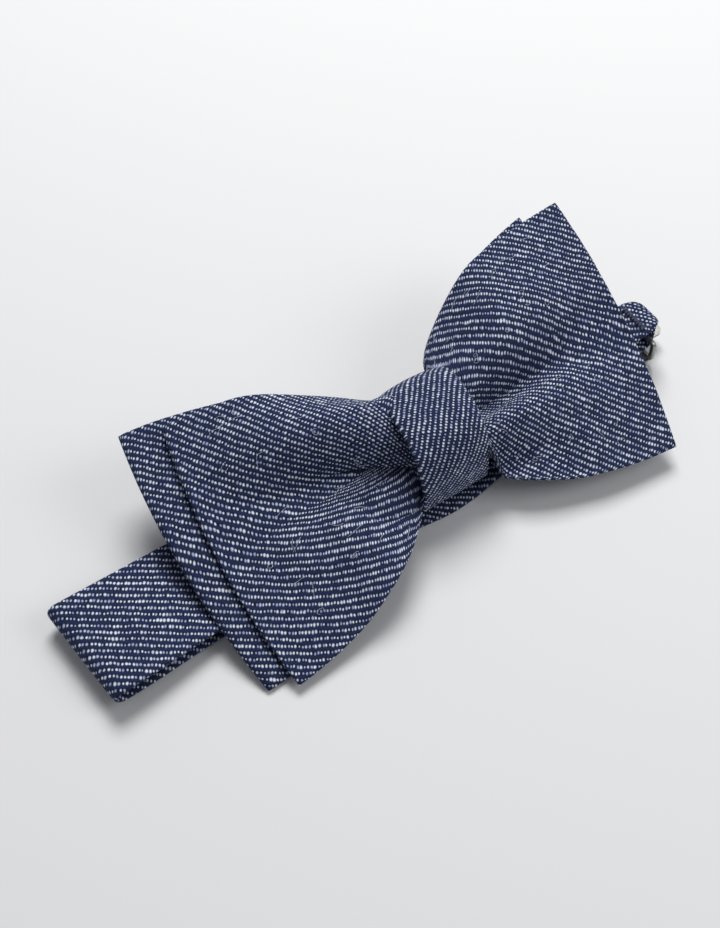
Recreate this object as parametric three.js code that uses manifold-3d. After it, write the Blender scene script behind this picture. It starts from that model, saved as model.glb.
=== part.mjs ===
// A ready-tied bow tie: two stacked bows pinched by a knot band, on a neck strap with a hook, an eye and a slider.
// Millimetres. X runs along the bow, Y towards its upper edge, Z up from the surface that the strap lies on.
// The origin is under the middle of the knot, on that surface.
import * as THREE from "three";
import { mergeVertices } from "three/addons/utils/BufferGeometryUtils.js";
import Module from "manifold-3d";

const wasm = await Module();
wasm.setup();

// ---- Driving dimensions ----
const BOW_LENGTH = 109; // front bow, end to end
const BOW_HEIGHT = 62; // wing ends, upper corner to lower corner
const BOW_WALL = 0.6; // shell cloth of a bow
const BOW_LINING = 0.8; // canvas inside a bow
const FRONT_PINCH = 7.6; // thickness of the front bow in the knot
const REAR_PINCH = 5.6; // thickness of the rear bow in the knot
const FRONT_PUFF = 2.4; // how much the front wings swell between the knot and their ends
const REAR_PUFF = 0.3;
const REAR_GATHER = 2; // each edge of the rear bow is gathered this far inside the strap
const FRONT_GATHER = 2.4; // and each edge of the front bow this far inside the rear bow
const REAR_PAST_LEFT = 7; // the rear bow shows this far past the front one on the left
const REAR_SHORT_RIGHT = 11; // and ends this far short of it on the right
const WING_FLARE = 13; // distance in which a wing opens out beside the knot
const LEFT_TILT = 0.28; // rise of the left wing end across its height
const RIGHT_TILT = 0.38; // rise of the right wing end across its height
const LEFT_DROP = 4.6; // how far the left wing end lies below the pinch
const RIGHT_DROP = 0.4; // how far the right wing end lies below the pinch
const RIGHT_SLANT = 0.14; // slant of the right wing end, upper corner outwards
const KNOT_WIDTH = 18; // knot band along X
const KNOT_BULGE = 0.05; // barrel swelling of the knot band
const KNOT_WALL = 0.9; // knot band cloth
const KNOT_LINING = 0.4; // soft lining inside the knot band
const KNOT_SIDE = 3; // straight side of the knot above the strap
const KNOT_CORNER = 1.6; // outer radius where the knot's sides meet its back
const SEAM_SLOT = 0.6; // where the ends of the knot band meet at the back
const SEAM_STITCHES = 4;
const SEAM_STITCH_LENGTH = 3;
const WINDING_WIDTH = 4; // gathering thread wound round both bows
const WINDING_WALL = 0.5;
const THREAD_THICKNESS = 0.4;
const STRAP_WIDTH = 25;
const STRAP_WALL = 0.35; // strap cloth
const STRAP_TAPE = 0.4; // interlining tape inside the strap
const STRAP_LEFT = 90.5; // outermost point of the left fold
const FOLD_RADIUS = 1.4; // left fold, at the middle of the strap's thickness
const TIP_WIDTH = 10; // the strap ends narrow to this at the hook and the eye
const TIP_TAPER = 8; // length of that narrowing
const LOOP_TAIL = 7; // strap end sewn back beyond a bar
const EYE_BAR_X = 64;
const EYE_BAR_RISE = 2.3; // the eye's bar above the upper run of the strap
const EYE_REACH = 6; // the eye's inner bar to its outer bar
const EYE_WIRE = 1.2;
const EYE_HANG = 85; // degrees below level
const HOOK_BAR_X = 59.5;
const HOOK_METAL = 0.7;
const HOOK_RAIL = 1.2;
const HOOK_REACH = 12; // bar to the tip of the tongue
const TONGUE_WIDTH = 5;
const TONGUE_RISE = 1.5;
const SLIDER_X = 33;
const SLIDER_LENGTH = 10;
const SLIDER_METAL = 0.6;
const SLIDER_RAIL = 1.4;
const SLIDER_BAR = 1.6;
const TAIL_FLAP = 4; // strap tail sewn together beyond the slider's bar
const TACK_LENGTH = 1.6;

// ---- Clearances ----
const GAP = 0.3; // between pieces that touch
const LINING_GAP = 0.15; // round a tape or canvas inside its cloth
const SIDE_GAP = 0.5; // beside the strap in its hardware, and beside the tape in the strap

// ---- Dependent sizes ----
const HALF_LENGTH = BOW_LENGTH / 2;
const REAR_WAIST = STRAP_WIDTH - 2 * REAR_GATHER;
const FRONT_WAIST = REAR_WAIST - 2 * FRONT_GATHER;
const PINCH_END = KNOT_WIDTH / 2 + GAP;
const WING_END = 2 * (BOW_WALL + LINING_GAP) + BOW_LINING;
const STRAP = 2 * (STRAP_WALL + LINING_GAP) + STRAP_TAPE;
const FLOOR_RUN = STRAP / 2; // centre height of the strap on the surface
const LOWER_RUN = SLIDER_METAL + GAP + STRAP / 2; // and where it crosses the slider
const LEFT_RUN = FLOOR_RUN + 2 * FOLD_RADIUS;
const SEAM_Z = LOWER_RUN + STRAP / 2 + GAP + THREAD_THICKNESS / 2;
const KNOT_BOTTOM = SEAM_Z + THREAD_THICKNESS / 2 + GAP;
const LINING_BOTTOM = KNOT_BOTTOM + KNOT_WALL + LINING_GAP;
const CAVITY_BOTTOM = LINING_BOTTOM + KNOT_LINING;
const SLIDER_BAR_Z = LOWER_RUN + STRAP / 2 + GAP + STRAP_WALL + LINING_GAP + SLIDER_METAL / 2;
const SLIDER_TOP = SLIDER_BAR_Z + SLIDER_METAL / 2 + LINING_GAP + STRAP_WALL + THREAD_THICKNESS;
const UPPER_RUN = Math.max(CAVITY_BOTTOM, SLIDER_TOP) + GAP + STRAP / 2;
const WINDING_BOTTOM = UPPER_RUN + STRAP / 2 + GAP;
const REAR_PINCH_Z = WINDING_BOTTOM + WINDING_WALL + GAP + REAR_PINCH / 2;
const FRONT_PINCH_Z = REAR_PINCH_Z + REAR_PINCH / 2 + GAP + FRONT_PINCH / 2;
const WINDING_TOP = FRONT_PINCH_Z + FRONT_PINCH / 2 + GAP + WINDING_WALL;
const CAVITY_TOP = WINDING_TOP + GAP;
const LINING_TOP = CAVITY_TOP + KNOT_LINING;
const KNOT_TOP = LINING_TOP + LINING_GAP + KNOT_WALL;
const CAVITY_HALF = Math.max(STRAP_WIDTH, REAR_WAIST + 2 * (WINDING_WALL + GAP)) / 2 + GAP;
const LINING_HALF = CAVITY_HALF + KNOT_LINING;
const KNOT_HALF = LINING_HALF + LINING_GAP + KNOT_WALL;
const SHOULDER = UPPER_RUN + KNOT_SIDE;
const EYE_BAR_Z = UPPER_RUN + EYE_BAR_RISE;
const EYE_LOOP = EYE_WIRE / 2 + GAP + STRAP / 2; // middle of the strap round the eye's bar
const EYE_HALF = TIP_WIDTH / 2 + SIDE_GAP + EYE_WIRE;
const HOOK_LOOP = HOOK_METAL / 2 + GAP + STRAP / 2;
const HOOK_BAR_Z = LOWER_RUN + HOOK_LOOP;
const HOOK_HALF = TIP_WIDTH / 2 + SIDE_GAP + HOOK_RAIL;
const HOOK_FRONT = HOOK_BAR_X + HOOK_LOOP + STRAP / 2 + GAP; // inner edge of the hook's plate
const TAPER_END = HOOK_BAR_X - 1;

const CLOTH = { color: 0x2c3a5e, roughness: 0.95, metalness: 0 };
const CANVAS = { color: 0xd8d2c4, roughness: 1, metalness: 0 };
const THREAD = { color: 0x1d2745, roughness: 0.8, metalness: 0 };
const NICKEL = { color: 0x9a9a9c, roughness: 0.35, metalness: 1 };

// ---- Helpers ----
const at = (x, z) => new THREE.Vector2(x, z);
const smooth = (t) => THREE.MathUtils.smoothstep(t, 0, 1);
const lerp = THREE.MathUtils.lerp;
const many = (count, make) => Array.from({ length: count }, (_, i) => make(i));

function solid(geometry) {
  const bare = geometry.clone();
  bare.deleteAttribute("normal");
  bare.deleteAttribute("uv");
  const merged = mergeVertices(bare, 1e-4);
  const vertProperties = new Float32Array(merged.attributes.position.array);
  const triVerts = new Uint32Array(merged.index.array);
  return new wasm.Manifold(new wasm.Mesh({ numProp: 3, vertProperties, triVerts }));
}

function geometryOf(body) {
  const { vertProperties, triVerts } = body.getMesh();
  const geometry = new THREE.BufferGeometry();
  geometry.setAttribute("position", new THREE.BufferAttribute(vertProperties, 3));
  geometry.setIndex(new THREE.BufferAttribute(triVerts, 1));
  const flat = geometry.toNonIndexed();
  flat.computeVertexNormals();
  return flat;
}

function piece(name, geometry, finish) {
  const mesh = new THREE.Mesh(geometry, new THREE.MeshStandardMaterial(finish));
  mesh.name = name;
  return mesh;
}

function box(x0, x1, y0, y1, z0, z1) {
  const geometry = new THREE.BoxGeometry(x1 - x0, y1 - y0, z1 - z0);
  return geometry.translate((x0 + x1) / 2, (y0 + y1) / 2, (z0 + z1) / 2);
}

// A closed skin over rings of points. Where the rings lead along +X, each turns from +Y to +Z.
function loft(rings) {
  const count = rings[0].length;
  const last = (rings.length - 1) * count;
  const hub = rings.length * count;
  const middle = (ring) => ring.reduce((sum, p) => sum.add(p), new THREE.Vector3()).divideScalar(count);
  const points = [...rings.flat(), middle(rings[0]), middle(rings.at(-1))];
  const index = [];
  for (let j = 0; j < count; j++) {
    const next = (j + 1) % count;
    for (let a = 0; a < last; a += count) {
      index.push(a + j, a + next, a + count + next, a + j, a + count + next, a + count + j);
    }
    index.push(hub, next, j, hub + 1, last + j, last + next);
  }
  const geometry = new THREE.BufferGeometry().setFromPoints(points);
  return geometry.setIndex(index);
}

// A strip of the given thickness about a line in the XZ plane; halfWidth gives its half width at each x.
function strip(line, thickness, halfWidth) {
  const rings = line.map((p, i) => {
    const along = line[Math.min(i + 1, line.length - 1)].clone().sub(line[Math.max(i - 1, 0)]);
    const aside = at(-along.y, along.x).setLength(thickness / 2);
    const above = p.clone().add(aside);
    const below = p.clone().sub(aside);
    const half = halfWidth(p.x);
    const corner = (q, y) => new THREE.Vector3(q.x, y, q.y);
    return [corner(below, half), corner(above, half), corner(above, -half), corner(below, -half)];
  });
  return loft(rings);
}

function arc(x, z, radius, from, to, steps = 10) {
  return many(steps + 1, (i) => {
    const angle = THREE.MathUtils.degToRad(lerp(from, to, i / steps));
    return at(x + radius * Math.cos(angle), z + radius * Math.sin(angle));
  });
}

// An easy S from one height to another.
function ease(x0, z0, x1, z1, steps = 8) {
  return many(steps + 1, (i) => at(lerp(x0, x1, i / steps), lerp(z0, z1, smooth(i / steps))));
}

function roundedBox(width, height, radius, Kind = THREE.Shape) {
  const w = width / 2 - radius;
  const h = height / 2 - radius;
  const shape = new Kind();
  shape.absarc(w, h, radius, 0, Math.PI / 2);
  shape.absarc(-w, h, radius, Math.PI / 2, Math.PI);
  shape.absarc(-w, -h, radius, Math.PI, 1.5 * Math.PI);
  shape.absarc(w, -h, radius, 1.5 * Math.PI, 2 * Math.PI);
  shape.closePath();
  return shape;
}

// ---- Runs of the strap ----
const LEFT_RAMP = [-3 * PINCH_END, -PINCH_END - 1]; // the upper run sinks towards the left fold
const EYE_RAMP = [TAPER_END - TIP_TAPER - 8, EYE_BAR_X - 2]; // and climbs to the eye

const strapHalf = (x) => lerp(STRAP_WIDTH, TIP_WIDTH, smooth((x - TAPER_END + TIP_TAPER) / TIP_TAPER)) / 2;

function upperRun(x) {
  const along = (ramp) => smooth((x - ramp[0]) / (ramp[1] - ramp[0]));
  if (x < 0) return lerp(LEFT_RUN, UPPER_RUN, along(LEFT_RAMP));
  return lerp(UPPER_RUN, EYE_BAR_Z + EYE_LOOP, along(EYE_RAMP));
}

// ---- Bows ----
const FRONT = { left: HALF_LENGTH, right: HALF_LENGTH, pinch: FRONT_PINCH, puff: FRONT_PUFF, waist: FRONT_WAIST };
const REAR = {
  left: HALF_LENGTH + REAR_PAST_LEFT,
  right: HALF_LENGTH - REAR_SHORT_RIGHT,
  pinch: REAR_PINCH,
  puff: REAR_PUFF,
  waist: REAR_WAIST,
};

// How far out along a wing x lies: 0 at the knot, 1 at the end of the front wing.
const outwards = (x) => Math.min(Math.max(Math.abs(x) - PINCH_END, 0) / (HALF_LENGTH - PINCH_END), 1);

function thickness(bow, x) {
  const u = outwards(x);
  return lerp(bow.pinch, WING_END, smooth(u)) + bow.puff * Math.sin(Math.PI * u);
}

const wingTilt = (x) => (x > 0 ? RIGHT_TILT : LEFT_TILT) * smooth(outwards(x));

// The wings droop towards their ends, but the rear one rests no lower than the strap under it.
function wingMiddle(bow, x) {
  const free = FRONT_PINCH_Z - (x > 0 ? RIGHT_DROP : LEFT_DROP) * smooth(outwards(x));
  const toRear = thickness(FRONT, x) / 2 + GAP + thickness(REAR, x) / 2;
  const overStrap = upperRun(x) + STRAP / 2 + GAP + thickness(REAR, x) / 2 + wingTilt(x) * strapHalf(x);
  const front = Math.max(free, overStrap + toRear);
  return bow === FRONT ? front : front - toRear;
}

// The outline of a bow at x, drawn in by inset on every side; a slab has its own thickness about the same middle.
function wingRing(bow, x, inset, slab) {
  const u = outwards(x);
  const flare = 1 - Math.exp(-Math.max(Math.abs(x) - PINCH_END, 0) / WING_FLARE);
  const halfHeight = lerp(bow.waist / 2, BOW_HEIGHT / 2, flare) - inset;
  const halfThick = slab ? slab / 2 : thickness(bow, x) / 2 - inset;
  const tilt = wingTilt(x);
  const slant = x > 0 ? RIGHT_SLANT * u * u : 0;
  const round = 2 / lerp(2.4, 5, u); // a lens beside the knot, a flat slab with round edges at the end
  const squash = (v) => Math.sign(v) * Math.abs(v) ** round;
  return many(20, (j) => {
    const y = halfHeight * squash(Math.cos((j * Math.PI) / 10));
    const z = halfThick * squash(Math.sin((j * Math.PI) / 10));
    return new THREE.Vector3(x + slant * y, y, wingMiddle(bow, x) + tilt * y + z);
  });
}

function bowBody(bow, inset, slab = 0) {
  const steps = 26;
  return solid(loft(many(steps + 1, (i) => wingRing(bow, lerp(inset - bow.left, bow.right - inset, i / steps), inset, slab))));
}

// The shell is a flattened cloth tube; its ends meet in a slot at the back, under the knot.
function bowShell(bow) {
  const back = wingMiddle(bow, 0);
  const slot = box(-SEAM_SLOT / 2, SEAM_SLOT / 2, -bow.waist / 4, bow.waist / 4, back - bow.pinch, back);
  return geometryOf(bowBody(bow, 0).subtract(bowBody(bow, BOW_WALL)).subtract(solid(slot)));
}

const bowLining = (bow) => geometryOf(bowBody(bow, BOW_WALL + LINING_GAP, BOW_LINING));

// ---- Knot ----
// A D lying on its flat back: straight sides to the shoulder, then a full dome.
function domeOutline(half, bottom, top) {
  const corner = Math.max(KNOT_CORNER - KNOT_HALF + half, 0.15);
  const dome = many(21, (i) => {
    const angle = (i * Math.PI) / 20;
    const c = Math.cos(angle);
    const full = 2 / 2.6;
    return at(half * Math.sign(c) * Math.abs(c) ** full, SHOULDER + (top - SHOULDER) * Math.sin(angle) ** full);
  });
  const left = arc(corner - half, bottom + corner, corner, 180, 270, 4);
  const right = arc(half - corner, bottom + corner, corner, 270, 360, 4);
  return [...dome, ...left, ...right];
}

function domeBody(half, bottom, top, width, bulge) {
  const outline = domeOutline(half, bottom, top);
  const steps = 8;
  return solid(
    loft(
      many(steps + 1, (i) => {
        const t = (2 * i) / steps - 1;
        const swell = 1 + bulge * (1 - t * t);
        const ring = (p) => new THREE.Vector3((t * width) / 2, p.x * swell, bottom + (p.y - bottom) * swell);
        return outline.map(ring);
      }),
    ),
  );
}

function domeRing(half, bottom, top, wall, width, bulge) {
  const hole = domeBody(half - wall, bottom + wall, top - wall, width, bulge);
  const past = domeBody(half - wall, bottom + wall, top - wall, width + 2, 0);
  return domeBody(half, bottom, top, width, bulge).subtract(hole).subtract(past);
}

function knotWrap() {
  const slot = box(-KNOT_WIDTH, KNOT_WIDTH, -SEAM_SLOT / 2, SEAM_SLOT / 2, KNOT_BOTTOM - 1, LINING_BOTTOM);
  const ring = domeRing(KNOT_HALF, KNOT_BOTTOM, KNOT_TOP, KNOT_WALL, KNOT_WIDTH, KNOT_BULGE);
  return geometryOf(ring.subtract(solid(slot)));
}

const knotLining = () =>
  geometryOf(domeRing(LINING_HALF, LINING_BOTTOM, LINING_TOP, KNOT_LINING, KNOT_WIDTH - 1, 0));

function gatherWinding() {
  return geometryOf(domeRing(CAVITY_HALF - GAP, WINDING_BOTTOM, WINDING_TOP, WINDING_WALL, WINDING_WIDTH, 0));
}

function seamStitch(index) {
  const stitch = new THREE.CapsuleGeometry(THREAD_THICKNESS / 2, SEAM_STITCH_LENGTH, 4, 8);
  const x = ((index + 0.5) / SEAM_STITCHES - 0.5) * KNOT_WIDTH;
  return stitch.translate(x, 0, SEAM_Z);
}

// ---- Neck strap ----
// From the tail behind the eye, round the eye's bar, over the left fold, along the surface, round the hook's bar.
// extra lengthens both ends.
function strapLine(extra = 0) {
  const fold = FOLD_RADIUS + STRAP / 2 - STRAP_LEFT;
  return [
    at(EYE_BAR_X - LOOP_TAIL - extra, EYE_BAR_Z - EYE_LOOP),
    ...arc(EYE_BAR_X, EYE_BAR_Z, EYE_LOOP, -90, 90),
    ...ease(EYE_RAMP[1], EYE_BAR_Z + EYE_LOOP, EYE_RAMP[0], UPPER_RUN, 24),
    ...ease(LEFT_RAMP[1], UPPER_RUN, LEFT_RAMP[0], LEFT_RUN),
    ...arc(fold, FLOOR_RUN + FOLD_RADIUS, FOLD_RADIUS, 90, 270),
    ...ease(PINCH_END / 2, FLOOR_RUN, PINCH_END + 6, LOWER_RUN),
    ...ease(TAPER_END - TIP_TAPER - 2, LOWER_RUN, TAPER_END, LOWER_RUN, 10),
    ...arc(HOOK_BAR_X, HOOK_BAR_Z, HOOK_LOOP, -90, 90),
    at(HOOK_BAR_X - LOOP_TAIL - extra, HOOK_BAR_Z + HOOK_LOOP),
  ];
}

function neckStrap() {
  const edge = STRAP_WALL + LINING_GAP;
  const cloth = solid(strip(strapLine(), STRAP, strapHalf));
  const inside = solid(strip(strapLine(1), STRAP_TAPE + 2 * LINING_GAP, (x) => strapHalf(x) - edge));
  return geometryOf(cloth.subtract(inside));
}

const strapTape = () => strip(strapLine(-0.5), STRAP_TAPE, (x) => strapHalf(x) - STRAP_WALL - LINING_GAP - SIDE_GAP);

// A close zigzag of thread across the strap, as the flat pad that it makes.
function barTack(x, z, width) {
  const pad = new THREE.ExtrudeGeometry(roundedBox(TACK_LENGTH, width, TACK_LENGTH / 4), {
    depth: THREAD_THICKNESS,
    bevelEnabled: false,
    curveSegments: 4,
  });
  return pad.translate(x, 0, z);
}

// ---- Hardware ----
function eye() {
  const outer = roundedBox(EYE_REACH + EYE_WIRE, 2 * EYE_HALF, 1.4);
  outer.holes.push(roundedBox(EYE_REACH - EYE_WIRE, 2 * (EYE_HALF - EYE_WIRE), 0.4, THREE.Path));
  const bevel = EYE_WIRE / 4;
  const geometry = new THREE.ExtrudeGeometry(outer, {
    depth: EYE_WIRE - 2 * bevel,
    bevelThickness: bevel,
    bevelSize: bevel,
    bevelOffset: -bevel,
    bevelSegments: 2,
    curveSegments: 5,
  });
  geometry.translate(EYE_REACH / 2, 0, bevel - EYE_WIRE / 2).rotateY(THREE.MathUtils.degToRad(EYE_HANG));
  return geometry.translate(EYE_BAR_X, 0, EYE_BAR_Z);
}

function hook() {
  const bar = HOOK_METAL + 0.1;
  const plate = [HOOK_FRONT, HOOK_FRONT + HOOK_RAIL];
  const z = [HOOK_BAR_Z - HOOK_METAL / 2, HOOK_BAR_Z + HOOK_METAL / 2];
  const x = [HOOK_BAR_X - bar / 2, HOOK_BAR_X + bar / 2];
  const tip = HOOK_BAR_X + HOOK_REACH;
  const tongue = strip(
    [...ease(plate[0] + 0.2, HOOK_BAR_Z, plate[1] + 2.5, HOOK_BAR_Z + TONGUE_RISE), at(tip, HOOK_BAR_Z + TONGUE_RISE)],
    HOOK_METAL,
    () => TONGUE_WIDTH / 2,
  );
  const plan = new THREE.ExtrudeGeometry(roundedBox(2 * HOOK_REACH, TONGUE_WIDTH, 2), { depth: 8, bevelEnabled: false });
  plan.translate(tip - HOOK_REACH, 0, 0);
  return geometryOf(
    solid(box(x[0], x[1], -HOOK_HALF, HOOK_HALF, ...z))
      .add(solid(box(x[0], plate[1], -HOOK_HALF, HOOK_RAIL - HOOK_HALF, ...z)))
      .add(solid(box(x[0], plate[1], HOOK_HALF - HOOK_RAIL, HOOK_HALF, ...z)))
      .add(solid(box(...plate, -HOOK_HALF, HOOK_HALF, ...z)))
      .add(solid(tongue).intersect(solid(plan))),
  );
}

// Two bars under the strap and a raised bar over it, between two rails.
function slider() {
  const inner = STRAP_WIDTH / 2 + SIDE_GAP;
  const outer = inner + SLIDER_RAIL;
  const half = SLIDER_LENGTH / 2;
  const bar = SLIDER_BAR / 2;
  const top = SLIDER_BAR_Z + SLIDER_METAL / 2;
  const x = (from, to) => [SLIDER_X + from, SLIDER_X + to];
  return geometryOf(
    solid(box(...x(-half, half), inner, outer, 0, top))
      .add(solid(box(...x(-half, half), -outer, -inner, 0, top)))
      .add(solid(box(...x(-half, -half + SLIDER_BAR), -outer, outer, 0, SLIDER_METAL)))
      .add(solid(box(...x(half - SLIDER_BAR, half), -outer, outer, 0, SLIDER_METAL)))
      .add(solid(box(...x(-bar, bar), -outer, outer, top - SLIDER_METAL, top))),
  );
}

// The end of the strap's cloth, folded round the slider's raised bar and sewn to itself.
function strapTail() {
  const room = [SLIDER_BAR + 2 * LINING_GAP, SLIDER_METAL + 2 * LINING_GAP];
  const outer = roundedBox(room[0] + 2 * STRAP_WALL, room[1] + 2 * STRAP_WALL, 0.4);
  outer.holes.push(roundedBox(room[0], room[1], 0.1, THREE.Path));
  const loop = new THREE.ExtrudeGeometry(outer, { depth: STRAP_WIDTH, bevelEnabled: false, curveSegments: 3 });
  loop.rotateX(Math.PI / 2).translate(SLIDER_X, STRAP_WIDTH / 2, SLIDER_BAR_Z);
  const from = SLIDER_X + room[0] / 2 + STRAP_WALL / 2;
  const half = STRAP_WIDTH / 2;
  const flap = box(from, from + TAIL_FLAP, -half, half, SLIDER_BAR_Z - STRAP_WALL, SLIDER_BAR_Z + STRAP_WALL);
  return geometryOf(solid(loop).add(solid(flap)));
}

// ---- Assembly ----
const tie = new THREE.Group();
tie.add(
  piece("front_bow", bowShell(FRONT), CLOTH),
  piece("front_bow_canvas", bowLining(FRONT), CANVAS),
  piece("rear_bow", bowShell(REAR), CLOTH),
  piece("rear_bow_canvas", bowLining(REAR), CANVAS),
  piece("gather_winding", gatherWinding(), THREAD),
  piece("knot_wrap", knotWrap(), CLOTH),
  piece("knot_lining", knotLining(), CANVAS),
);
for (let i = 0; i < SEAM_STITCHES; i++) tie.add(piece(`seam_stitch_${i + 1}`, seamStitch(i), THREAD));

const tackWidth = TIP_WIDTH - 2;
const tackLift = STRAP / 2 + GAP;
tie.add(
  piece("neck_strap", neckStrap(), CLOTH),
  piece("strap_tape", strapTape(), CANVAS),
  piece("strap_eye", eye(), NICKEL),
  piece("strap_hook", hook(), NICKEL),
  piece("eye_tack", barTack(EYE_BAR_X - 3, EYE_BAR_Z + EYE_LOOP + tackLift, tackWidth), THREAD),
  piece("hook_tack", barTack(HOOK_BAR_X - LOOP_TAIL + 2, HOOK_BAR_Z + HOOK_LOOP + tackLift, tackWidth), THREAD),
);

const sliderGroup = new THREE.Group();
const flapX = SLIDER_X + SLIDER_BAR / 2 + LINING_GAP + STRAP_WALL + TAIL_FLAP / 2;
sliderGroup.add(
  piece("strap_slider", slider(), NICKEL),
  piece("strap_tail", strapTail(), CLOTH),
  piece("tail_tack", barTack(flapX, SLIDER_BAR_Z + STRAP_WALL + GAP, STRAP_WIDTH - 4), THREAD),
);
tie.add(sliderGroup);

export default tie;
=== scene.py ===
"""Looks of a ready-tied bow tie in navy twill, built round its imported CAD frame.

Lengths in the classes are millimetres: X runs along the bow, Y towards its upper edge and Z up.
A cloth place (u, v) is also in millimetres: u along the warp and v across it.
"""

import logging
import math
from dataclasses import dataclass, field
from enum import Enum
from typing import Callable, Iterable, Optional, Sequence, Union

import bpy
import numpy as np
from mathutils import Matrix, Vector


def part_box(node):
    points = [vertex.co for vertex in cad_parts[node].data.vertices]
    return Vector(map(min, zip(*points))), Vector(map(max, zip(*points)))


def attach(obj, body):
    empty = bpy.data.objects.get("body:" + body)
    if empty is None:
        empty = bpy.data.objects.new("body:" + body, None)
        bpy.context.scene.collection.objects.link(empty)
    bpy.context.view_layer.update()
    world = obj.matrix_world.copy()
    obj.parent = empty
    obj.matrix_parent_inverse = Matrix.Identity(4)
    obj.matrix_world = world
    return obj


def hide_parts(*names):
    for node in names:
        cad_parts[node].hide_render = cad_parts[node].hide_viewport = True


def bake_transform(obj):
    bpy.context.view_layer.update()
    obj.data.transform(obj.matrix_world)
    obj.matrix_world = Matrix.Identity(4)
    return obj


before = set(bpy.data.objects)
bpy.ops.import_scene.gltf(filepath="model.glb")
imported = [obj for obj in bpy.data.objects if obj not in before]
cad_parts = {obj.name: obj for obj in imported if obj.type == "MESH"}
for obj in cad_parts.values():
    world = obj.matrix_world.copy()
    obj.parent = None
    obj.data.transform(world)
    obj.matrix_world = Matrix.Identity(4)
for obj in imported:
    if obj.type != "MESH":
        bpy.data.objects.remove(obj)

MM = 0.001
STRAP_STEP = 0.7  # between points along the strap
log = logging.getLogger("bow_tie")

Array = np.ndarray
Number = Union[float, "Value"]


# ---------------------------------------------------------------- Numbers and curves


def smooth(t: Array) -> Array:
    """An easy step from 0 to 1."""
    t = np.clip(t, 0.0, 1.0)
    return t * t * (3.0 - 2.0 * t)


def lerp(a: Array, b: Array, t: Array) -> Array:
    """From a at 0 to b at 1."""
    return a + (b - a) * t


def low_mm(node: str) -> Array:
    """The lowest corner of a CAD node, in millimetres."""
    return np.array(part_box(node)[0]) / MM


def high_mm(node: str) -> Array:
    """The highest corner of a CAD node, in millimetres."""
    return np.array(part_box(node)[1]) / MM


def ripple(x: Array, y: Array, scale: float, seed: int) -> Array:
    """Gentle unevenness from a few crossing waves.

    Args:
        x: Places along the bow.
        y: Places across it, of the same shape.
        scale: The usual distance from crest to crest.
        seed: Which of the many patterns to use.

    Returns:
        Heights between about -1 and 1.
    """
    draw = np.random.default_rng(seed)
    total = np.zeros(np.broadcast(x, y).shape)
    waves = 7
    for _ in range(waves):
        turn, phase = draw.uniform(0, 2 * math.pi, 2)
        step = 2 * math.pi / (scale * draw.uniform(0.7, 1.6))
        total += np.sin(step * (x * math.cos(turn) + y * math.sin(turn)) + phase)
    return total / math.sqrt(waves)


def path_length(points: Array) -> Array:
    """How far along a line each of its points lies, from 0 at the first."""
    steps = np.linalg.norm(np.diff(points, axis=0), axis=-1)
    return np.concatenate([np.zeros((1,) + steps.shape[1:]), np.cumsum(steps, axis=0)])


def directions(line: Array) -> Array:
    """The unit direction of a line at each of its points."""
    ahead = np.gradient(line, axis=0)
    ahead /= np.linalg.norm(ahead, axis=1, keepdims=True)
    return ahead


def resample(points: Array, step: float) -> Array:
    """The same open line with its points a step apart.

    Args:
        points: The line, one point to a row.
        step: The distance wanted between points.

    Returns:
        The new points, the two ends kept.
    """
    far = path_length(points)
    count = max(int(round(far[-1] / step)), 2)
    at = np.linspace(0, far[-1], count + 1)
    return np.stack([np.interp(at, far, points[:, k]) for k in range(points.shape[1])], 1)


def arc(x: float, z: float, radius: float, start: float, end: float, steps: int = 16) -> Array:
    """Points on an arc about (x, z), from one angle to another in degrees."""
    turn = np.radians(np.linspace(start, end, steps + 1))
    return np.stack([x + radius * np.cos(turn), z + radius * np.sin(turn)], 1)


def easy(x0: float, z0: float, x1: float, z1: float, steps: int = 16) -> Array:
    """Points on an easy S from one place to another."""
    t = np.linspace(0, 1, steps + 1)
    return np.stack([lerp(x0, x1, t), lerp(z0, z1, smooth(t))], 1)


# ---------------------------------------------------------------- Shader arithmetic


@dataclass(frozen=True)
class Value:
    """A number socket on which shader arithmetic is written as ordinary Python."""

    shader: "Shader"
    socket: bpy.types.NodeSocket

    def _math(self, kind: str, *others: Number) -> "Value":
        """The result of a Math node on this value and the others."""
        return self.shader.math(kind, self, *others)

    def __add__(self, other: Number) -> "Value":
        """self + other."""
        return self._math("ADD", other)

    def __sub__(self, other: Number) -> "Value":
        """self - other."""
        return self._math("SUBTRACT", other)

    def __rsub__(self, other: Number) -> "Value":
        """other - self."""
        return self.shader.math("SUBTRACT", other, self)

    def __mul__(self, other: Number) -> "Value":
        """self * other."""
        return self._math("MULTIPLY", other)

    def __truediv__(self, other: Number) -> "Value":
        """self / other."""
        return self._math("DIVIDE", other)

    __radd__ = __add__
    __rmul__ = __mul__

    def floor(self) -> "Value":
        """The whole number below."""
        return self._math("FLOOR")

    def part(self) -> "Value":
        """What is left above the whole number."""
        return self._math("FRACT")

    def cosine(self) -> "Value":
        """The cosine of an angle in radians."""
        return self._math("COSINE")

    def root(self) -> "Value":
        """The square root."""
        return self._math("SQRT")

    def step(self, low: float, high: float, to: tuple[float, float] = (0.0, 1.0)) -> "Value":
        """An easy step as this value goes from low to high.

        Args:
            low: Where the step starts.
            high: Where it ends.
            to: The values before and after it.

        Returns:
            The stepped value.
        """
        node = self.shader.add(
            "ShaderNodeMapRange",
            {"interpolation_type": "SMOOTHSTEP"},
            {"Value": self, "From Min": low, "From Max": high, "To Min": to[0], "To Max": to[1]},
        )
        return Value(self.shader, node.outputs["Result"])


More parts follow.
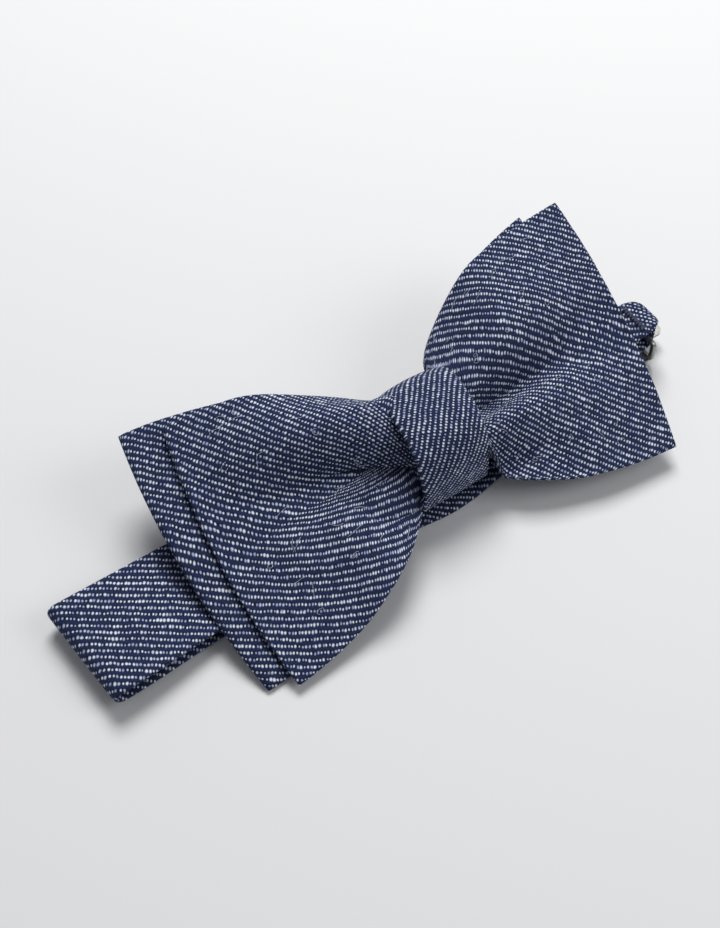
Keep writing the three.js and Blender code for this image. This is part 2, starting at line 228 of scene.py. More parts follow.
class Shader:
    """A material's node tree, with its surface shader ready."""

    def __init__(self, name: str) -> None:
        """Starts a material of that name."""
        self.material = bpy.data.materials.new(name)
        self.material.use_nodes = True
        self.tree = self.material.node_tree
        self.tree.nodes.clear()
        output = self.add("ShaderNodeOutputMaterial")
        self.surface = self.add("ShaderNodeBsdfPrincipled")
        self.tree.links.new(self.surface.outputs["BSDF"], output.inputs["Surface"])

    def add(
        self,
        kind: str,
        settings: Optional[dict] = None,
        inputs: Optional[dict] = None,
    ) -> bpy.types.Node:
        """Adds a node, sets it, and then fills its sockets.

        Args:
            kind: The node's type.
            settings: Its own settings; stops are a ramp's places and colours.
            inputs: Values or links for its sockets, by name or number.

        Returns:
            The new node.
        """
        node = self.tree.nodes.new(kind)
        for key, value in (settings or {}).items():
            if key == "stops":
                self._set_stops(node.color_ramp, value)
            else:
                setattr(node, key, value)
        for key, value in (inputs or {}).items():
            self.fill(node.inputs[key], value)
        return node

    @staticmethod
    def _set_stops(ramp: bpy.types.ColorRamp, stops: Sequence[tuple]) -> None:
        """Gives a ramp its stops, each a place and a colour."""
        while len(ramp.elements) < len(stops):
            ramp.elements.new(1.0)
        for element, (place, colour) in zip(ramp.elements, stops):
            element.position = place
            element.color = (*colour, 1.0)

    def fill(self, socket: bpy.types.NodeSocket, value: object) -> None:
        """Links a socket to a value or another socket, or sets it.

        Args:
            socket: The socket to fill.
            value: A Value or a socket to link, or a constant to set.
        """
        if isinstance(value, Value):
            value = value.socket
        if isinstance(value, bpy.types.NodeSocket):
            self.tree.links.new(value, socket)
        elif socket.type == "RGBA" and len(value) == 3:
            socket.default_value = (*value, 1.0)
        else:
            socket.default_value = value

    def dress(self, **sockets: object) -> bpy.types.Material:
        """Fills the surface shader's sockets, Base_Color for Base Color, and gives the material."""
        for key, value in sockets.items():
            self.fill(self.surface.inputs[key.replace("_", " ")], value)
        return self.material

    def math(self, kind: str, *values: Number) -> Value:
        """The result of a Math node."""
        node = self.add("ShaderNodeMath", {"operation": kind}, dict(enumerate(values)))
        return Value(self, node.outputs[0])

    def cloth_place(self) -> tuple[Value, Value]:
        """The place on the cloth, along the warp and across it."""
        node = self.add("ShaderNodeUVMap", {"uv_map": ClothMesh.MAP})
        split = self.add("ShaderNodeSeparateXYZ", None, {0: node.outputs["UV"]})
        return Value(self, split.outputs[0]), Value(self, split.outputs[1])

    def vector(self, x: Number, y: Number, z: Number = 0.0) -> bpy.types.NodeSocket:
        """A vector from three numbers."""
        return self.add("ShaderNodeCombineXYZ", None, {0: x, 1: y, 2: z}).outputs[0]

    def chance(self, where: bpy.types.NodeSocket) -> tuple[Value, Value, Value]:
        """Three random numbers from 0 to 1, the same wherever the vector is the same."""
        noise = self.add("ShaderNodeTexWhiteNoise", {"noise_dimensions": "3D"}, {"Vector": where})
        split = self.add("ShaderNodeSeparateColor", None, {0: noise.outputs["Color"]})
        return tuple(Value(self, split.outputs[k]) for k in range(3))

    def noise(self, where: Optional[bpy.types.NodeSocket], scale: float, detail: float = 2.0) -> Value:
        """Smooth noise from about 0 to 1 at a vector, or over the piece."""
        if where is None:
            where = self.add("ShaderNodeTexCoord").outputs["Object"]
        node = self.add("ShaderNodeTexNoise", None, {"Vector": where, "Scale": scale, "Detail": detail})
        return Value(self, node.outputs[0])

    def mix(self, share: Number, first: object, second: object) -> bpy.types.NodeSocket:
        """A colour between two colours."""
        node = self.add("ShaderNodeMix", {"data_type": "RGBA"}, {0: share, 6: first, 7: second})
        return node.outputs[2]

    def bump(self, height: Value, depth: float) -> bpy.types.NodeSocket:
        """The normal of a surface raised by height times depth millimetres."""
        node = self.add("ShaderNodeBump", None, {"Height": height, "Distance": depth * MM, "Strength": 1.0})
        return node.outputs["Normal"]


# ---------------------------------------------------------------- Finishes


class Slot(Enum):
    """The material slots, one for each finish."""

    CLOTH = "shell_cloth"
    CANVAS = "canvas"
    THREAD = "thread"
    NICKEL = "nickel"


@dataclass(frozen=True)
class FleckedTwill:
    """Navy twill whose pale weft shows as slanting rows of small flecks."""

    pitch: float = 0.75  # between flecks along a row
    row: float = 1.45  # between rows
    lean: float = -37.0  # degrees from the warp to a row
    fleck_along: float = 0.235  # half a fleck, along its row
    fleck_across: float = 0.32
    navy: tuple = (0.014, 0.026, 0.090)
    # darkest navy: random dark fibres, and painted shade in the twill's grooves beside the fleck rows
    dark_fibre_and_groove_shade: tuple = (0.0014, 0.0022, 0.0080)
    pale: tuple = (0.80, 0.86, 1.0)
    dusk: tuple = (0.26, 0.32, 0.56)

    def make(self) -> bpy.types.Material:
        """Builds the cloth's material from its place on the weave."""
        shader = Shader("flecked_twill")
        u, v = shader.cloth_place()
        sway = shader.noise(shader.vector(u, v), 0.22, 2.0) - 0.5
        stagger = shader.noise(shader.vector(u, v, 7.0), 0.9, 1.0) - 0.5
        turn = math.radians(self.lean)
        along = u * math.cos(turn) + v * math.sin(turn) + stagger * 0.3
        across = v * math.cos(turn) - u * math.sin(turn) + sway * 0.7
        rows = across / self.row
        row = rows.floor()
        places = along / self.pitch + row * 0.5
        cell = shader.vector(places.floor(), row)
        first, second, third = shader.chance(cell)
        off_along = (places.part() - 0.5 + (second - 0.5) * 0.26) * (self.pitch / self.fleck_along)
        off_across = (rows.part() - 0.5 + (third - 0.5) * 0.10) * (self.row / self.fleck_across)
        slub = shader.noise(shader.vector(along * 0.5, across * 1.4), 0.42, 1.0).step(0.58, 0.72)
        size = first * 0.42 + slub * 0.25 + 0.74
        away = (off_along * off_along + off_across * off_across).root() / size
        fleck = away.step(0.35, 1.45, (1.0, 0.0))
        fibre = shader.noise(shader.vector(along * 2.2, across * 5.0), 2.6, 3.0)
        ridge = (rows * (2 * math.pi)).cosine() * 0.5 + 0.5
        ends = (places * (2 * math.pi)).cosine() * 0.5 + 0.5
        # the navy ground darkens with random fibre tone, and through ridge in the grooves beside the fleck
        # rows where the bump is low: painted shade
        body = shader.mix((ridge * 0.45 + fibre * 0.75 - 0.12).step(0.0, 1.0), self.dark_fibre_and_groove_shade, self.navy)
        whiteness = (second * 0.75 + slub * 0.5 + fibre * 0.3 + 0.05).step(0.0, 1.0)
        bright = shader.mix(whiteness, self.dusk, self.pale)
        colour = shader.mix(fleck, body, bright)
        height = ridge * 0.5 + ends * ridge * 0.25 + fleck * 0.55 + fibre * 0.3
        return shader.dress(
            Base_Color=colour,
            Roughness=0.88,
            Normal=shader.bump(height, 0.11),
            Sheen_Weight=0.07,
            Sheen_Roughness=0.45,
            Sheen_Tint=(0.45, 0.55, 1.0),
            Specular_IOR_Level=0.25,
        )


@dataclass(frozen=True)
class PlainCanvas:
    """Undyed plain-weave interlining."""

    yarn: float = 0.45
    pale: tuple = (0.66, 0.61, 0.50)
    deep: tuple = (0.36, 0.32, 0.24)

    def make(self) -> bpy.types.Material:
        """Builds the canvas from crossing yarns."""
        shader = Shader("plain_canvas")
        where = shader.add("ShaderNodeTexCoord").outputs["Object"]
        split = shader.add("ShaderNodeSeparateXYZ", None, {0: where})
        x, y = (Value(shader, split.outputs[k]) * (math.pi / (self.yarn * MM)) for k in (0, 1))
        weave = x.cosine() * y.cosine() * 0.5 + 0.5
        slub = shader.noise(where, 900.0, 3.0)
        tone = (weave * 0.7 + slub * 0.5).step(0.1, 1.0)
        return shader.dress(
            Base_Color=shader.mix(tone, self.deep, self.pale),
            Roughness=0.95,
            Normal=shader.bump(weave + slub * 0.4, 0.08),
        )


@dataclass(frozen=True)
class SewingThread:
    """Twisted sewing thread with a slight lustre."""

    name: str = "navy_thread"
    light: tuple = (0.045, 0.060, 0.15)
    dark: tuple = (0.008, 0.012, 0.035)

    def make(self) -> bpy.types.Material:
        """Builds the thread from its fine twist."""
        shader = Shader(self.name)
        twist = shader.noise(None, 2600.0, 2.0)
        return shader.dress(
            Base_Color=shader.mix(twist.step(0.3, 0.7), self.dark, self.light),
            Roughness=0.6,
            Normal=shader.bump(twist, 0.05),
            Sheen_Weight=0.2,
        )


@dataclass(frozen=True)
class SatinNickel:
    """Satin nickel plate, a little dulled and scuffed by handling."""

    bright: tuple = (0.40, 0.40, 0.39)
    dull: tuple = (0.22, 0.22, 0.22)

    def make(self) -> bpy.types.Material:
        """Builds the plate with scuffs that change its colour and its gloss."""
        shader = Shader("satin_nickel")
        cloud = shader.noise(None, 260.0, 4.0)
        scuff = shader.noise(None, 2400.0, 3.0)
        wear = (cloud * 0.6 + scuff * 0.4).step(0.35, 0.65)
        return shader.dress(
            Base_Color=shader.mix(wear, self.bright, self.dull),
            Metallic=1.0,
            Roughness=wear * 0.16 + 0.27,
            Normal=shader.bump(scuff, 0.012),
        )


@dataclass(frozen=True)
class PalePaper:
    """The plain pale surface under the tie."""

    tone: tuple = (0.80, 0.80, 0.80)

    def make(self) -> bpy.types.Material:
        """Builds the surface's even matt finish."""
        return Shader("pale_paper").dress(Base_Color=self.tone, Roughness=0.9, Specular_IOR_Level=0.1)


# ---------------------------------------------------------------- Meshes


@dataclass
class ClothMesh:
    """A piece made of rings of points, with each corner's place on the cloth.

    points holds rings x places x 3 in millimetres; cloth holds rings x (places + 1) x 2,
    because the last place of a ring meets the first one again.
    """

    name: str
    points: Array
    cloth: Array
    caps: bool = True
    MAP = "cloth_place"

    def build(self) -> bpy.types.Object:
        """Makes the object, closed round each ring and over both ends."""
        rings, count = self.points.shape[:2]
        i, j = np.meshgrid(np.arange(rings - 1), np.arange(count), indexing="ij")
        i, j = i.ravel(), j.ravel()
        after = (j + 1) % count
        faces = np.stack([i * count + j, i * count + after, (i + 1) * count + after, (i + 1) * count + j], 1)
        corners = np.stack(
            [self.cloth[i, j], self.cloth[i, j + 1], self.cloth[i + 1, j + 1], self.cloth[i + 1, j]], 1
        )
        faces, corners = [faces], [corners]
        if self.caps:
            for ring, turned in ((0, True), (rings - 1, False)):
                face, corner = self._cap(ring, count, turned)
                faces.append(face)
                corners.append(corner)
        return make_object(
            self.name, self.points.reshape(-1, 3), np.concatenate(faces), np.concatenate(corners)
        )

    def _cap(self, ring: int, count: int, turned: bool) -> tuple[Array, Array]:
        """The faces across an end ring, joining each place to the one opposite."""
        half = count // 2
        j = np.arange(half - 1)
        places = np.stack([(j + 1), j, count - 1 - j, count - 2 - j], 1)
        if not turned:
            places = places[:, ::-1]
        return ring * count + places, self.cloth[ring][places]


def make_object(name: str, points: Array, faces: Array, corners: Optional[Array] = None) -> bpy.types.Object:
    """Makes a smooth mesh object.

    Args:
        name: The piece's name.
        points: Its points in millimetres, one to a row.
        faces: The points of each face, all faces with the same number of corners.
        corners: Each face corner's place on the cloth, in millimetres.

    Returns:
        The new object, in the scene.
    """
    mesh = bpy.data.meshes.new(name)
    mesh.from_pydata((points * MM).tolist(), [], faces.tolist())
    if corners is not None:
        layer = mesh.uv_layers.new(name=ClothMesh.MAP)
        layer.uv.foreach_set("vector", np.ascontiguousarray(corners, np.float32).ravel())
    mesh.shade_smooth()
    mesh.validate()
    mesh.update()
    piece = bpy.data.objects.new(name, mesh)
    bpy.context.scene.collection.objects.link(piece)
    return piece


def tube(line: Array, radius: Union[float, Array], sides: int = 10) -> tuple[Array, Array]:
    """The skin of a round cord along a line.

    Args:
        line: The points of its middle, in millimetres.
        radius: Its radius, one for all or one for each point.
        sides: The points round it.

    Returns:
        Its points and its four-cornered faces, with the ends closed by narrowing them.
    """
    line = np.asarray(line, float)
    ahead = directions(line)
    aslant = np.array([0.13, 0.21, 0.97])  # a direction that no cord here runs in
    side = np.cross(ahead, aslant)
    side /= np.linalg.norm(side, axis=1, keepdims=True)
    up = np.cross(side, ahead)
    width = np.broadcast_to(radius, len(line)).astype(float)
    line = np.concatenate([line[:1], line, line[-1:]])
    side, up = (np.concatenate([a[:1], a, a[-1:]]) for a in (side, up))
    width = np.concatenate([[width[0] * 0.05], width, [width[-1] * 0.05]])
    turn = np.linspace(0, 2 * math.pi, sides, endpoint=False)
    round_it = side[:, None] * np.cos(turn)[None, :, None] + up[:, None] * np.sin(turn)[None, :, None]
    points = line[:, None] + round_it * width[:, None, None]
    i, j = (a.ravel() for a in np.meshgrid(np.arange(len(line) - 1), np.arange(sides), indexing="ij"))
    after = (j + 1) % sides
    faces = np.stack([i * sides + after, i * sides + j, (i + 1) * sides + j, (i + 1) * sides + after], 1)
    return points.reshape(-1, 3), faces


def joined(parts: Iterable[tuple[Array, Array]]) -> tuple[Array, Array]:
    """Several skins as one.

    Args:
        parts: The points and faces of each skin.

    Returns:
        The points and faces of all of them.
    """
    points, faces, start = [], [], 0
    for some, many in parts:
        points.append(some)
        faces.append(many + start)
        start += len(some)
    return np.concatenate(points), np.concatenate(faces)


def place(
    piece: bpy.types.Object,
    body: str,
    finish: bpy.types.Material,
    slot: Slot,
    nodes: Sequence[str] = (),
) -> bpy.types.Object:
    """slot: Not used. The record's slot for that material.
        nodes: The CAD nodes that it takes the place of.

    Returns:
        The same piece.
    """
    piece.data.materials.clear()
    piece.data.materials.append(finish)
    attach(piece, body)
    if nodes:
        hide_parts(*nodes)
    log.info("%s: %d faces on %s", piece.name, len(piece.data.polygons), body)
    return piece


# ---------------------------------------------------------------- Bows


@dataclass(frozen=True)
class Fold:
    """A soft valley across the cloth, or a ridge where its depth is below 0."""

    start: tuple[float, float]
    end: tuple[float, float]
    depth: float
    narrow: float  # half width at the start
    wide: float  # half width at the end
    bend: float = 0.0  # how far its middle bows sideways
    fade: float = 1.2  # how soon it dies out
    below: Optional[tuple[float, float]] = None  # half widths on its lower side, where they differ
    step: float = 0.0  # share of its depth that the cloth on its lower side keeps

    def sink(self, x: Array, y: Array) -> Array:
        """How far the fold lowers the cloth at each place.

        Args:
            x: Places along the bow.
            y: Places across it, of the same shape.

        Returns:
            The drop at each place, below 0 where a ridge lifts the cloth.
        """
        start, end = np.array(self.start), np.array(self.end)
        run = end - start
        length = float(np.hypot(*run))
        run = run / length
        t = ((x - start[0]) * run[0] + (y - start[1]) * run[1]) / length
        inside = np.clip(t, 0.0, 1.0)
        aside = (y - start[1]) * run[0] - (x - start[0]) * run[1]
        aside = aside - self.bend * 4.0 * inside * (1.0 - inside)
        under = aside * run[0] < 0
        opening = inside ** 1.4
        wide = lerp(self.narrow, self.wide, opening)
        if self.below:
            wide = np.where(under, lerp(self.below[0], self.below[1], opening), wide)
        before = np.maximum(-t, 0.0) * length
        fall = (1.0 - inside) ** self.fade * np.exp(-((before / (2.0 * self.narrow)) ** 2))
        kept = np.where(under, self.step, 0.0)
        return self.depth * fall * (kept + (1.0 - kept) * np.exp(-((aside / wide) ** 2)))


@dataclass(frozen=True)
class Wing:
    """One side of a bow."""

    reach: float  # from the middle to the end, at half height
    drop: float  # how far its end lies below the pinch
    tilt: float  # rise of its end across its height
    slant: float = 0.0  # how much further out the upper corner lies
    bow_out: float = 2.8  # how far the end bows outwards between its corners
    puff: float = 1.2  # fullness above the plain swelling
    early: float = 1.0  # how soon beside the knot the end's tilt sets in
    shift: float = 0.0  # how far it lies towards the upper edge
    spread: float = 0.0  # how far it bulges past the waist at once beside the knot
    sag: float = 0.0  # how far its lower edge droops beside the knot
    sag_from: float = 8.0  # how far below the centre line the droop starts
    sag_to: float = 0.5  # how far along the wing it has died out
    twist: float = 0.0  # degrees by which the cloth of its upper lobe is turned
    folds: tuple[Fold, ...] = ()
    roll: float = 0.0  # how far the cloth above a valley rolls over it


@dataclass
class Bow:
    """A pleated bow: a flattened tube of cloth, pinched in its middle, with canvas inside."""

    name: str
    left: Wing
    right: Wing
    pinch_z: float  # middle of its thickness in the knot
    pinch: float  # thickness in the knot
    swell: float  # how much the wings swell between the knot and their ends
    waist: float  # height in the knot
    knot_half: float = 9.3
    knot_edge: float = 7.4  # where the knot's leaning edge lets the cloth out
    height: float = 62.0
    flare: float = 17.0  # distance in which a wing opens out beside the knot
    end_thick: float = 1.7
    seed: int = 3
    wrinkle: float = 0.16
    columns: int = 190  # points across the upper side, and as many across the lower
    over: Optional["Bow"] = None  # the bow that lies on this one
    gap: float = 0.35
    inset: float = 1.6  # from the cloth's ends to the canvas
    trim: int = 18  # columns that the canvas leaves free along each long edge
    canvas_rise: float = 0.4  # where the canvas lies, from 0 at the lower side to 1 at the upper
    twist_hub: float = 38.0  # how far out the cloth of an upper lobe is turned about
    twist_from: float = -4.0  # cloth place above which it starts to turn
    twist_run: float = 24.0  # and the distance in which it has turned fully
    full_at: float = 54.5  # how far out a wing has its full height

    def wing(self, x: float) -> Wing:
        """The wing that x lies in."""
        return self.right if x > 0 else self.left

    def outwards(self, x: float) -> float:
        """0 at the knot and 1 at the end of the front bow."""
        reach = (self.over or self).wing(x).reach
        return float(np.clip((abs(x) - self.knot_half) / (reach - self.knot_half), 0.0, 1.0))

    def half_height(self, x: float) -> float:
        """Half the height of the bow at x."""
        past = max(abs(x) - self.knot_half, 0.0)
        full = 1.0 - math.exp(-(self.full_at - self.knot_half) / self.flare)
        most_open = 1.02
        opened = min((1.0 - math.exp(-past / self.flare)) / full, most_open)
        out = max(abs(x) - self.knot_edge, 0.0)
        bulge_run = 0.9
        bulge = self.wing(x).spread * (1.0 - math.exp(-out / bulge_run)) * (1.0 - opened)
        return lerp(self.waist / 2, self.height / 2, opened) + bulge

    def plain_thickness(self, x: float) -> float:
        """Thickness over the crown, before folds."""
        u = self.outwards(x)
        return lerp(self.pinch, self.end_thick + 0.5, float(smooth(u))) + self.swell * math.sin(math.pi * u)

    def middle(self, x: float) -> float:
        """Height of the bow's middle surface at x, on its centre line."""
        if self.over is None:
            return self.pinch_z - self.wing(x).drop * float(smooth(self.outwards(x)))
        return self.over.middle(x) - self.over.plain_thickness(x) / 2 - self.gap - self.plain_thickness(x) / 2

    def section(self, x: float, end_share: float) -> tuple[Array, Array]:
        """The bow's outline across at x.

        Args:
            x: Place along the centre line.
            end_share: 1 along the wing, falling to 0 over its rounded end.

        Returns:
            The upper and lower sides, points x 3, both from the upper edge to the lower one.
        """
        wing, u, half = self.wing(x), self.outwards(x), self.half_height(x)
        crowded = 0.25  # share by which the columns crowd towards the edges
        s = np.sin(np.linspace(math.pi / 2, -math.pi / 2, self.columns)) * crowded
        s = s + np.linspace(1, -1, self.columns) * (1 - crowded)
        y = half * s + wing.shift * float(smooth(u * 3))
        rim_width = 1.1
        rim = 1.0 - np.clip((np.abs(s) - (1 - rim_width / half)) * half / rim_width, 0, 1) ** 2
        edge = np.sqrt(np.maximum(rim, 0.0)) * self.end_thick / 2 * end_share
        swing = lerp(2.3, 1.9, u)
        crown = np.maximum(1 - np.abs(s) ** swing, 0.0) ** lerp(1 / 2.3, 1.15, float(smooth(u * 1.6)))
        body = max(self.plain_thickness(x) - self.end_thick, 0.0) / 2 * crown * end_share
        lift = wing.puff * math.sin(math.pi * min(u * 1.12, 1.0)) * crown
        sink = sum((fold.sink(np.full_like(y, x), y) for fold in wing.folds), np.zeros_like(y))
        near = crown ** 0.5
        tilt = wing.tilt * float(smooth(u * wing.early))
        beside = float(smooth((abs(x) - self.knot_edge) / 2.6))
        droop = wing.sag * beside * float(1 - smooth(u / wing.sag_to))
        level = self.middle(x) + tilt * y - droop * smooth((-y - wing.sag_from) / 9.0)
        rough = self.wrinkle * ripple(np.full_like(y, x), y, 9.0, self.seed) * near * min(u * 6, 1.0)
        out = (wing.slant * y * u * u + wing.bow_out * (1 - s * s) * u ** 3 * math.copysign(1, x))
        upper = level + edge + body + (lift - sink * near) * end_share + rough
        lower = level - edge - body + rough * 0.5
        upper = np.maximum(upper, lower + np.minimum(1.2, 2 * edge))
        flat = np.stack([x + out, y, upper], 1)
        if wing.roll:
            slope = np.gradient(sink, y)
            push = wing.roll * slope * near
            flat[:, 1] += np.where(slope > 0, push * 0.25, push)
        return flat, np.stack([x + out, y, lower], 1)

    def stations(self) -> tuple[Array, Array]:
        """Places along the bow, and how far each end has rounded off there."""
        rim = self.end_thick * 0.8
        turn = np.linspace(0, math.pi / 2, 7)[1:]
        inner = np.linspace(-self.left.reach + rim, self.right.reach - rim, 210)
        left = -self.left.reach + rim - rim * np.sin(turn[::-1])
        right = self.right.reach - rim + rim * np.sin(turn)
        share = np.concatenate([np.cos(turn[::-1]), np.ones(len(inner)), np.cos(turn)])
        return np.concatenate([left, inner, right]), np.maximum(share, 0.06)

    def cloth_places(self, upper: Array, lower: Array, xs: Array) -> Array:
        """Lays the bow's cloth over its shape, the way it was cut.

        The cloth runs true along both edges of a wing, and what is spare lies in the valley.

        Args:
            upper: Points of the upper side, rings x columns x 3.
            lower: Points of the lower side.
            xs: Places of the rings along the bow.

        Returns:
            Cloth places of the upper side and then the lower one, rings x 2 columns x 2.
        """
        places = []
        for side, sign in ((upper, 1.0), (lower, -1.0)):
            across = np.linalg.norm(np.diff(side, axis=1), axis=2)
            centre = side.shape[1] // 2
            v = np.zeros(side.shape[:2])
            for ring in range(len(side)):
                y = side[ring, :, 1]
                valley = 3.2 + 0.10 * abs(xs[ring])  # half width of the valley there
                valley_y = 1.5
                extra = np.exp(-(((y[1:] + y[:-1]) / 2 - valley_y) / valley) ** 2)
                for part in (slice(0, centre), slice(centre, self.columns - 1)):
                    plain = across[ring, part].sum()
                    spare = max(self.height / 2 - plain, -0.15 * plain)
                    weight = across[ring, part] * extra[part]
                    across[ring, part] += spare * weight / max(weight.sum(), 1e-6)
                far = np.concatenate([[0], np.cumsum(across[ring])])
                v[ring] = self.height / 2 - far
            u = np.zeros_like(v)
            middle = int(np.argmin(np.abs(xs)))
            steps = np.linalg.norm(np.diff(side, axis=0), axis=2)
            right = np.cumsum(steps[middle:][::-1], axis=0)[::-1]
            left = np.cumsum(steps[:middle], axis=0)
            u[middle:-1] = self.right.reach - right
            u[-1] = self.right.reach
            u[0] = -self.left.reach
            u[1:middle + 1] = np.where(xs[1:middle + 1, None] < 0, left - self.left.reach, u[1:middle + 1])
            u, v = self._turned(u, v, xs)
            places.append(np.stack([u, v if sign > 0 else self.height - v], 2))
        return np.concatenate([places[0], places[1][:, ::-1]], axis=1)

    def _turned(self, u: Array, v: Array, xs: Array) -> tuple[Array, Array]:
        """Turns the cloth of each wing's upper lobe by the wing's twist.

        Args:
            u: Cloth places along the bow, rings x columns.
            v: Cloth places across it.
            xs: Places of the rings along the bow.

        Returns:
            The turned u and v.
        """
        far = u.copy(), v.copy()
        for wing, rings, hub in ((self.left, xs < 0, -self.twist_hub), (self.right, xs >= 0, self.twist_hub)):
            across, up = u[rings] - hub, v[rings] - self.height / 2
            turn = math.radians(wing.twist) * smooth((v[rings] - self.twist_from) / self.twist_run)
            far[0][rings] = hub + across * np.cos(turn) - up * np.sin(turn)
            far[1][rings] = self.height / 2 + across * np.sin(turn) + up * np.cos(turn)
        return far

    def sides(self, xs: Array, shares: Optional[Array] = None) -> tuple[Array, Array]:
        """The bow's upper and lower sides at several places.

        Args:
            xs: Places along the centre line.
            shares: How far each outline has rounded off, none of them if left out.

        Returns:
            The upper and the lower side, each rings x columns x 3.
        """
        shares = np.ones(len(xs)) if shares is None else shares
        outlines = [self.section(x, share) for x, share in zip(xs, shares)]
        return np.stack([pair[0] for pair in outlines]), np.stack([pair[1] for pair in outlines])

    def upper_side(self) -> Array:
        """The upper side of the bow, clear of its ends, rings x columns x 3."""
        clear, rings = 2, 210
        return self.sides(np.linspace(-self.left.reach + clear, self.right.reach - clear, rings))[0]

    def layer_places(self, inset: float) -> Array:
        """Places along a layer inside the bow whose ends lie inset from the cloth's."""
        rings = 90
        return np.linspace(inset - self.left.reach, self.right.reach - inset, rings)

    def between(self, upper: Array, lower: Array) -> Array:
        """The surface between two sides on which the canvas lies."""
        return lower * (1 - self.canvas_rise) + upper * self.canvas_rise

    def build(self) -> bpy.types.Object:
        """Makes the cloth of the bow, closed all round."""
        xs, share = self.stations()
        upper, lower = self.sides(xs, share)
        cloth = self.cloth_places(upper, lower, xs)
        cloth = np.concatenate([cloth, cloth[:, :1]], axis=1)
        points = np.concatenate([upper, lower[:, ::-1]], axis=1)
        return ClothMesh(self.name, points, cloth).build()

    def flat_size(self, inset: float = 0.0, trim: int = 0) -> tuple[float, float]:
        """Measures a layer of the bow as cut: across its open ends and along its middle.

        Args:
            inset: Distance from the cloth's ends to the layer's own ends.
            trim: Columns that the layer leaves free along each long edge.

        Returns:
            The width and the length along the cloth, in millimetres.
        """
        layer = self.between(*self.sides(self.layer_places(inset)))
        layer = layer[:, trim : layer.shape[1] - trim]
        left_end = float(path_length(layer[0])[-1])
        right_end = float(path_length(layer[-1])[-1])
        along = float(path_length(layer[:, layer.shape[1] // 2])[-1])
        return (left_end + right_end) / 2, along

    def build_canvas(self) -> bpy.types.Object:
        """Makes the canvas inside, which follows the middle of the cloth."""
        thick, thinnest, every = 0.6, 0.1, 5
        xs = self.layer_places(self.inset)
        kept = slice(self.trim, -self.trim, every)
        upper, lower = (side[:, kept] for side in self.sides(xs))
        middle = self.between(upper, lower)
        room = np.clip((upper[:, :, 2] - lower[:, :, 2]) * 0.25, thinnest / 2, thick / 2)
        top, bottom = middle.copy(), middle.copy()
        top[:, :, 2] += room
        bottom[:, :, 2] -= room
        points = np.concatenate([top, bottom[:, ::-1]], axis=1)
        cloth = np.zeros((len(xs), points.shape[1] + 1, 2))
        return ClothMesh(self.name + "_canvas_piece", points, cloth).build()


# ---------------------------------------------------------------- Knot


@dataclass
class KnotBand:
    """The band of cloth that wraps the middle of both bows and meets at the back."""

    name: str
    bottom: float  # height of its back
    top: float  # height of its crown
    half: float  # half its length across the bow
    shoulder: float = 3.0  # straight side above the strap
    strap_rise: float = 2.45  # from its back to the strap's middle
    width: float = 18.8
    skew: float = 0.11  # the band leans a little to one side
    wall: float = 0.9
    corner: float = 3.8
    slot: float = 0.6
    belly: float = 0.9
    ease: float = 1.18  # the band's cloth is eased closer together

    def outline(self) -> Array:
        """The band's outer line in the YZ plane, from the slot round over the crown to the slot."""
        shoulder = self.bottom + self.strap_rise + self.shoulder
        full = 2 / 2.5
        turn = np.linspace(0, math.pi, 90)
        side = np.sign(np.cos(turn)) * np.abs(np.cos(turn)) ** full
        dome = np.stack([self.half * side, shoulder + (self.top - shoulder) * np.sin(turn) ** full], 1)
        right = arc(self.half - self.corner, self.bottom + self.corner, self.corner, 270, 360, 8)
        left = arc(self.corner - self.half, self.bottom + self.corner, self.corner, 180, 270, 8)
        start = np.array([[self.slot / 2, self.bottom]])
        return resample(np.concatenate([start, right, dome, left, start * [-1, 1]]), 0.45)

    def build(self) -> bpy.types.Object:
        """Makes the band, with turned-in edges."""
        line = self.outline()
        ahead = directions(line)
        outside = np.stack([ahead[:, 1], -ahead[:, 0]], 1)
        far = path_length(line)
        half = self.width / 2
        edge = self.wall / 2
        columns = 44
        flat = np.linspace(-1, 1, columns)
        turn = np.linspace(90, -90, 7)[1:-1]
        outer = np.stack([flat * (half - edge), np.full(columns, edge)], 1)
        right = np.stack([half - edge + edge * np.cos(np.radians(turn)), edge * np.sin(np.radians(turn))], 1)
        profile = np.concatenate([outer, right, outer[::-1] * [1, -1], right[::-1] * [-1, 1]])
        top_side = profile[:columns + len(right)]
        across = path_length(top_side)
        cloth_across = np.interp(profile[:, 0], top_side[:, 0], across - half)
        crown = smooth((line[:, 1] - self.bottom - 4) / (self.top - self.bottom - 8))
        rings = []
        for k, point in enumerate(line):
            belly = self.belly * crown[k] * (1 - (profile[:, 0] / half) ** 2)
            tuck = 0.35 * crown[k] * (np.abs(profile[:, 0]) / half) ** 6
            lift = profile[:, 1] - edge + belly - tuck
            lift = lift + 0.10 * ripple(profile[:, 0], np.full(len(profile), far[k]), 8.0, 11)
            narrow = 1 - 0.05 * (1 - crown[k])
            x = profile[:, 0] * narrow + self.skew * point[0]
            rings.append(np.stack([x, point[0] + outside[k, 0] * lift, point[1] + outside[k, 1] * lift], 1))
        points = np.stack(rings)
        cloth = np.zeros((len(line), len(profile) + 1, 2))
        cloth[:, :-1, 0] = far[:, None] * self.ease
        cloth[:, :-1, 1] = cloth_across[None, :] * self.ease
        cloth[:, -1] = cloth[:, 0]
        return ClothMesh(self.name, points, cloth).build()


# ---------------------------------------------------------------- Neck strap


